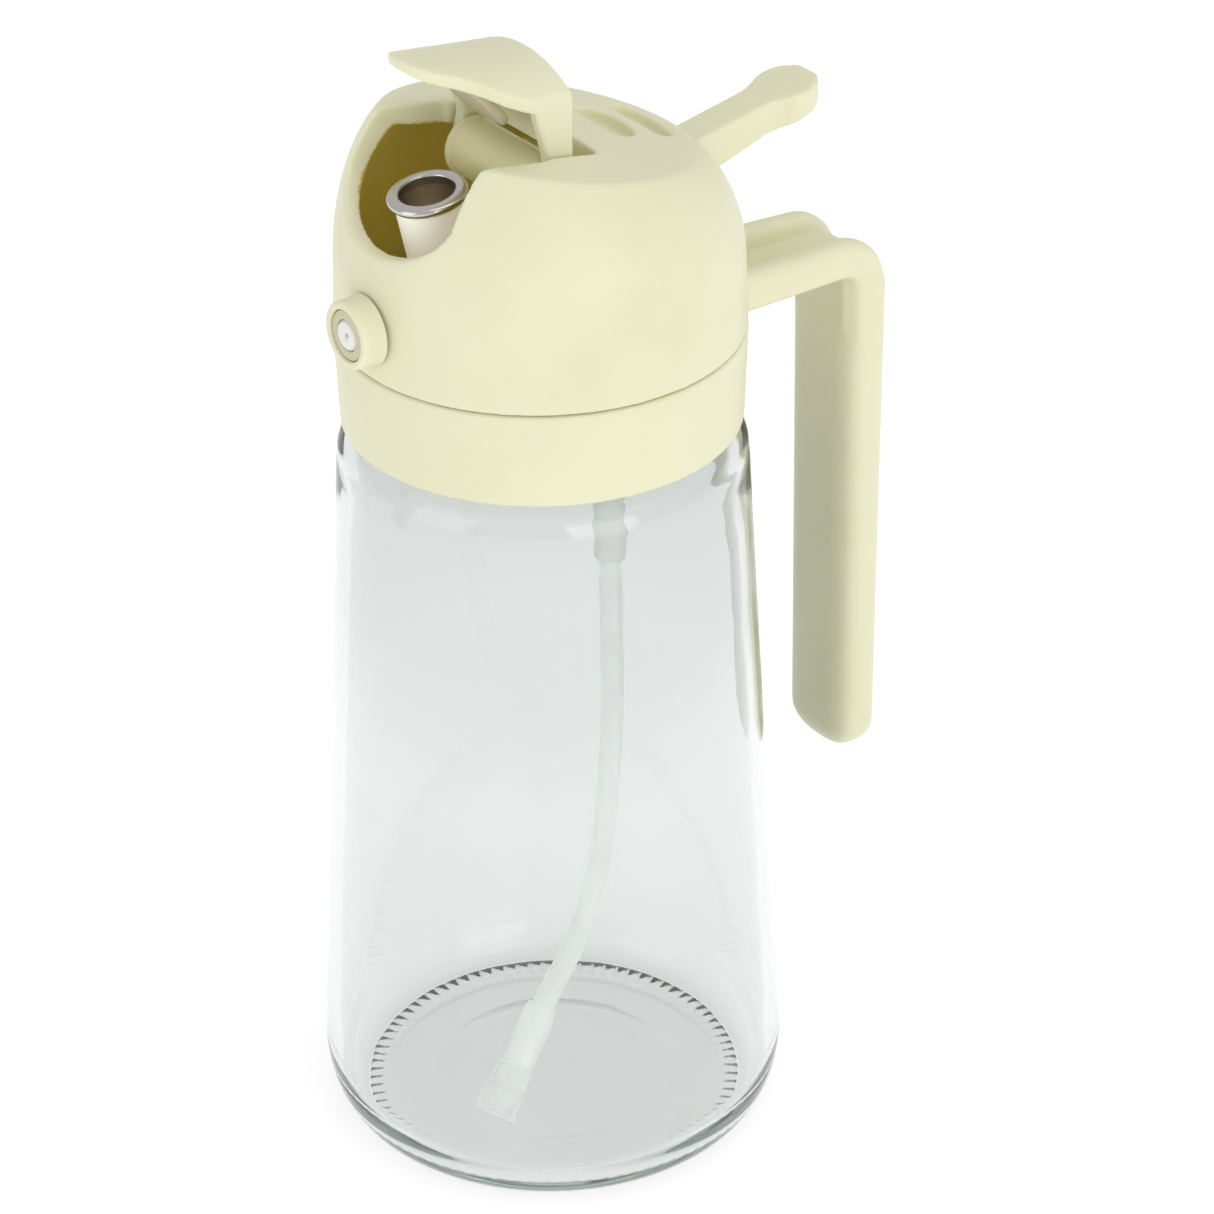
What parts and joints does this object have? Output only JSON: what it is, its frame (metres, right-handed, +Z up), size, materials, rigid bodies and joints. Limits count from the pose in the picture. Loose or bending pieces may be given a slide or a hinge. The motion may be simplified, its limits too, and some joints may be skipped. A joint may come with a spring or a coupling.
{
  "type": "oil bottle",
  "caption": "Conical glass kitchen oil bottle with a screw-on plastic head that pours through a lidded spout or sprays from a nozzle when its lever is pressed.",
  "frame": {"origin": "on the bottle's axis, in the plane that its base stands on", "axes": "+Z up the bottle's axis, -Y towards the spray nozzle, +Y towards the handle"},
  "size_m": [0.08, 0.1072, 0.2026],
  "materials": {
    "glass": "clear pressed soda-lime glass, faint green in the thick edges",
    "cream_plastic": "satin moulded cream-yellow plastic",
    "inner_plastic": "satin moulded cream plastic, inside the head",
    "white_plastic": "satin white plastic",
    "silicone": "translucent beige silicone",
    "clear_hose": "translucent soft plastic",
    "steel": "polished stainless steel"
  },
  "bodies": {
    "bottle": {"glass_bottle": "glass"},
    "gasket": {"neck_gasket": "silicone"},
    "head": {"collar": "cream_plastic", "deck": "inner_plastic", "dome_shell": "cream_plastic", "pour_spout": "white_plastic", "spout_rim": "steel", "lid_hinge_barrel": "inner_plastic", "lid_pin": "steel", "lever_pin": "steel", "pump_barrel": "white_plastic", "pump_spring": "steel", "valve_ball": "steel", "spray_hose": "clear_hose", "nozzle_body": "white_plastic", "nozzle_bezel": "cream_plastic", "nozzle_retainer": "silicone", "nozzle_insert": "white_plastic", "handle": "cream_plastic", "handle_screw_1": "steel", "handle_screw_2": "steel", "dip_tube": "clear_hose", "strainer_sleeve": "clear_hose", "strainer_foot": "clear_hose", "vent_valve": "silicone"},
    "lid": {"lid": "cream_plastic", "lid_pad": "silicone"},
    "lever": {"lever": "cream_plastic"},
    "pump_rod": {"piston": "white_plastic", "piston_seal": "silicone"}
  },
  "joints": [
    {"name": "head_lift", "type": "slide", "parent": "bottle", "child": "gasket", "axis": [0, 0, 1], "range_m": [0, 0.1]},
    {"name": "head_turn", "type": "hinge", "parent": "gasket", "child": "head", "pos_m": [0, 0, 0.1337], "axis": [0, 0, 1], "continuous": true},
    {"name": "lid_hinge", "type": "hinge", "parent": "head", "child": "lid", "pos_m": [0, -0.006, 0.1788], "axis": [1, 0, 0], "range_deg": [0, 59]},
    {"name": "lever_hinge", "type": "hinge", "parent": "head", "child": "lever", "pos_m": [0, -0.003, 0.1615], "axis": [1, 0, 0], "range_deg": [-13, 0], "stiffness_Nm_per_rad": 0.08, "springref_deg": 8.59},
    {"name": "pump_slide", "type": "slide", "parent": "head", "child": "pump_rod", "axis": [0, 0, 1], "range_m": [-0.0045, 0], "deforming": ["pump_spring"]}
  ],
  "couplings": [
    {"joint": "pump_slide", "follows": "lever_hinge", "m_per_rad": 0.0166}
  ]
}
